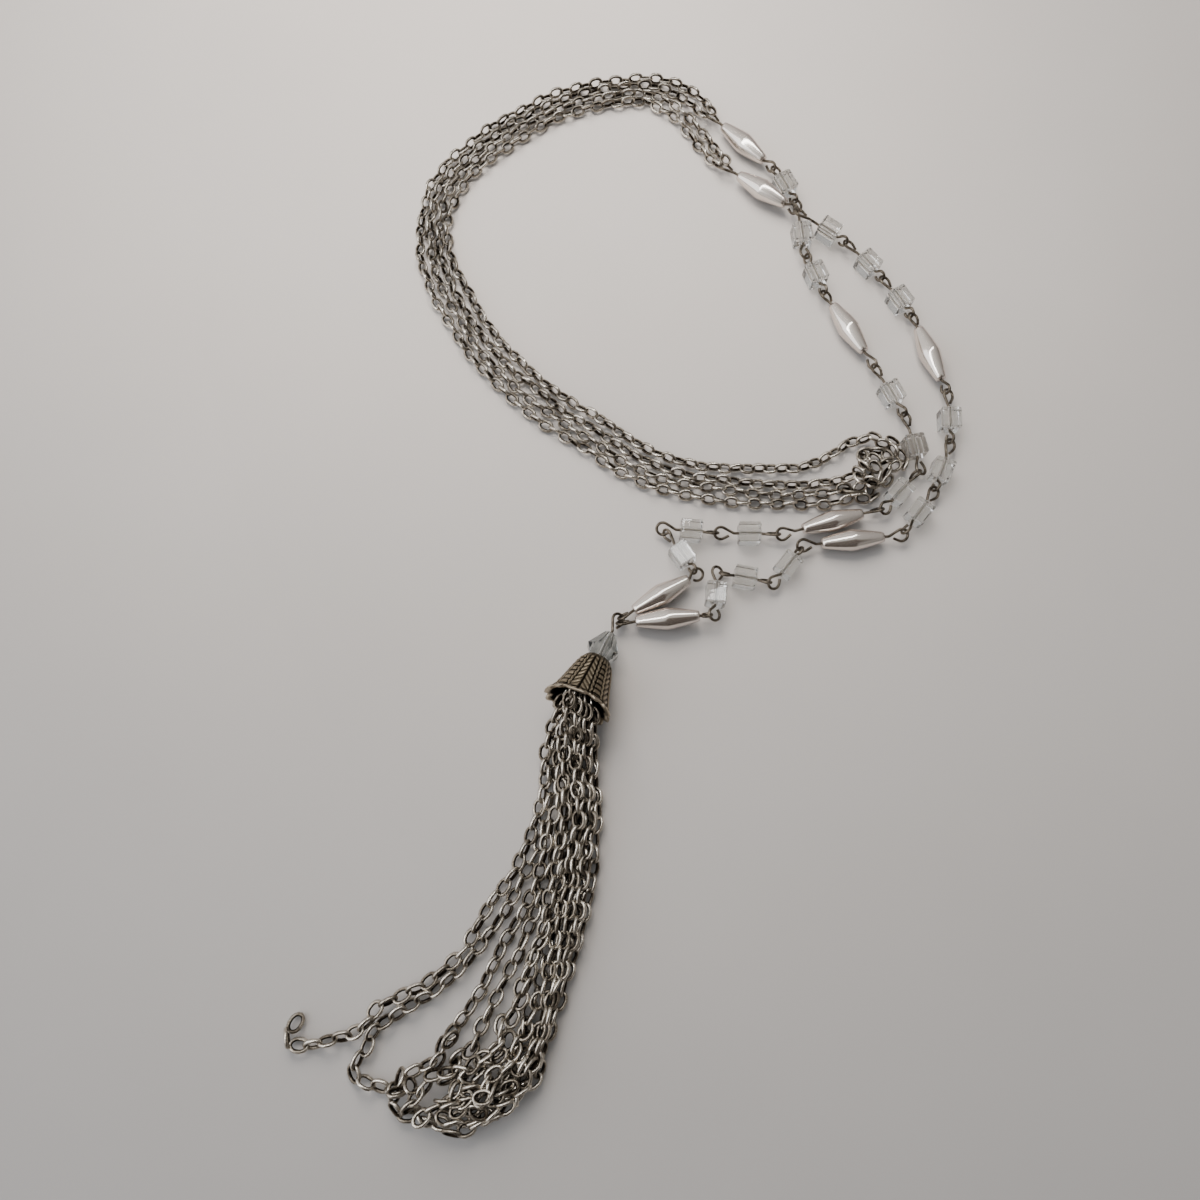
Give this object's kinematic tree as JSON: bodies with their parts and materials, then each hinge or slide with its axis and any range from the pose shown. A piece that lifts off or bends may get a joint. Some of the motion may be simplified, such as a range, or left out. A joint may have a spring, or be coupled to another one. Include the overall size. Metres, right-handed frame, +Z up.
{
  "type": "tassel necklace",
  "caption": "Necklace of two chains and two strands of pearl and clear cube beads on linked eye pins, with a capped chain tassel, laid flat with its chains doubled over.",
  "frame": {"origin": "the middle of the piece's outline seen from above, on the plane that it rests on", "axes": "+Z up from the plane it rests on, +Y from the tassel towards the top of the neck loop, +X towards the beaded side"},
  "size_m": [0.1809, 0.3054, 0.0184],
  "materials": {
    "aged_silver": "antiqued silver-tone plating, polished on the high spots and dark in the recesses",
    "aged_bronze": "cast, dark antiqued bronze-tone with worn pale relief",
    "pearl_coat": "pearl lustre coat, glossy",
    "clear_glass": "clear, polished, faint iridescence",
    "smoke_glass": "pale steel-grey, faceted and polished"
  },
  "bodies": {
    "root": {"tassel_chains": "aged_silver", "tassel_cap": "aged_bronze", "tassel_bead": "smoke_glass", "tassel_pin": "aged_silver", "pins_a": "aged_silver", "pins_b": "aged_silver", "neck_chain_a": "aged_silver", "neck_chain_b": "aged_silver", "pearl_a1": "pearl_coat", "pearl_a2": "pearl_coat", "pearl_a3": "pearl_coat", "pearl_a4": "pearl_coat", "pearl_b1": "pearl_coat", "pearl_b2": "pearl_coat", "pearl_b3": "pearl_coat", "pearl_b4": "pearl_coat", "cube_a1": "clear_glass", "cube_a2": "clear_glass", "cube_a3": "clear_glass", "cube_a4": "clear_glass", "cube_a5": "clear_glass", "cube_a6": "clear_glass", "cube_a7": "clear_glass", "cube_a8": "clear_glass", "cube_a9": "clear_glass", "cube_b1": "clear_glass", "cube_b2": "clear_glass", "cube_b3": "clear_glass", "cube_b4": "clear_glass", "cube_b5": "clear_glass", "cube_b6": "clear_glass", "cube_b7": "clear_glass", "cube_b8": "clear_glass", "cube_b9": "clear_glass"}
  },
  "joints": []
}
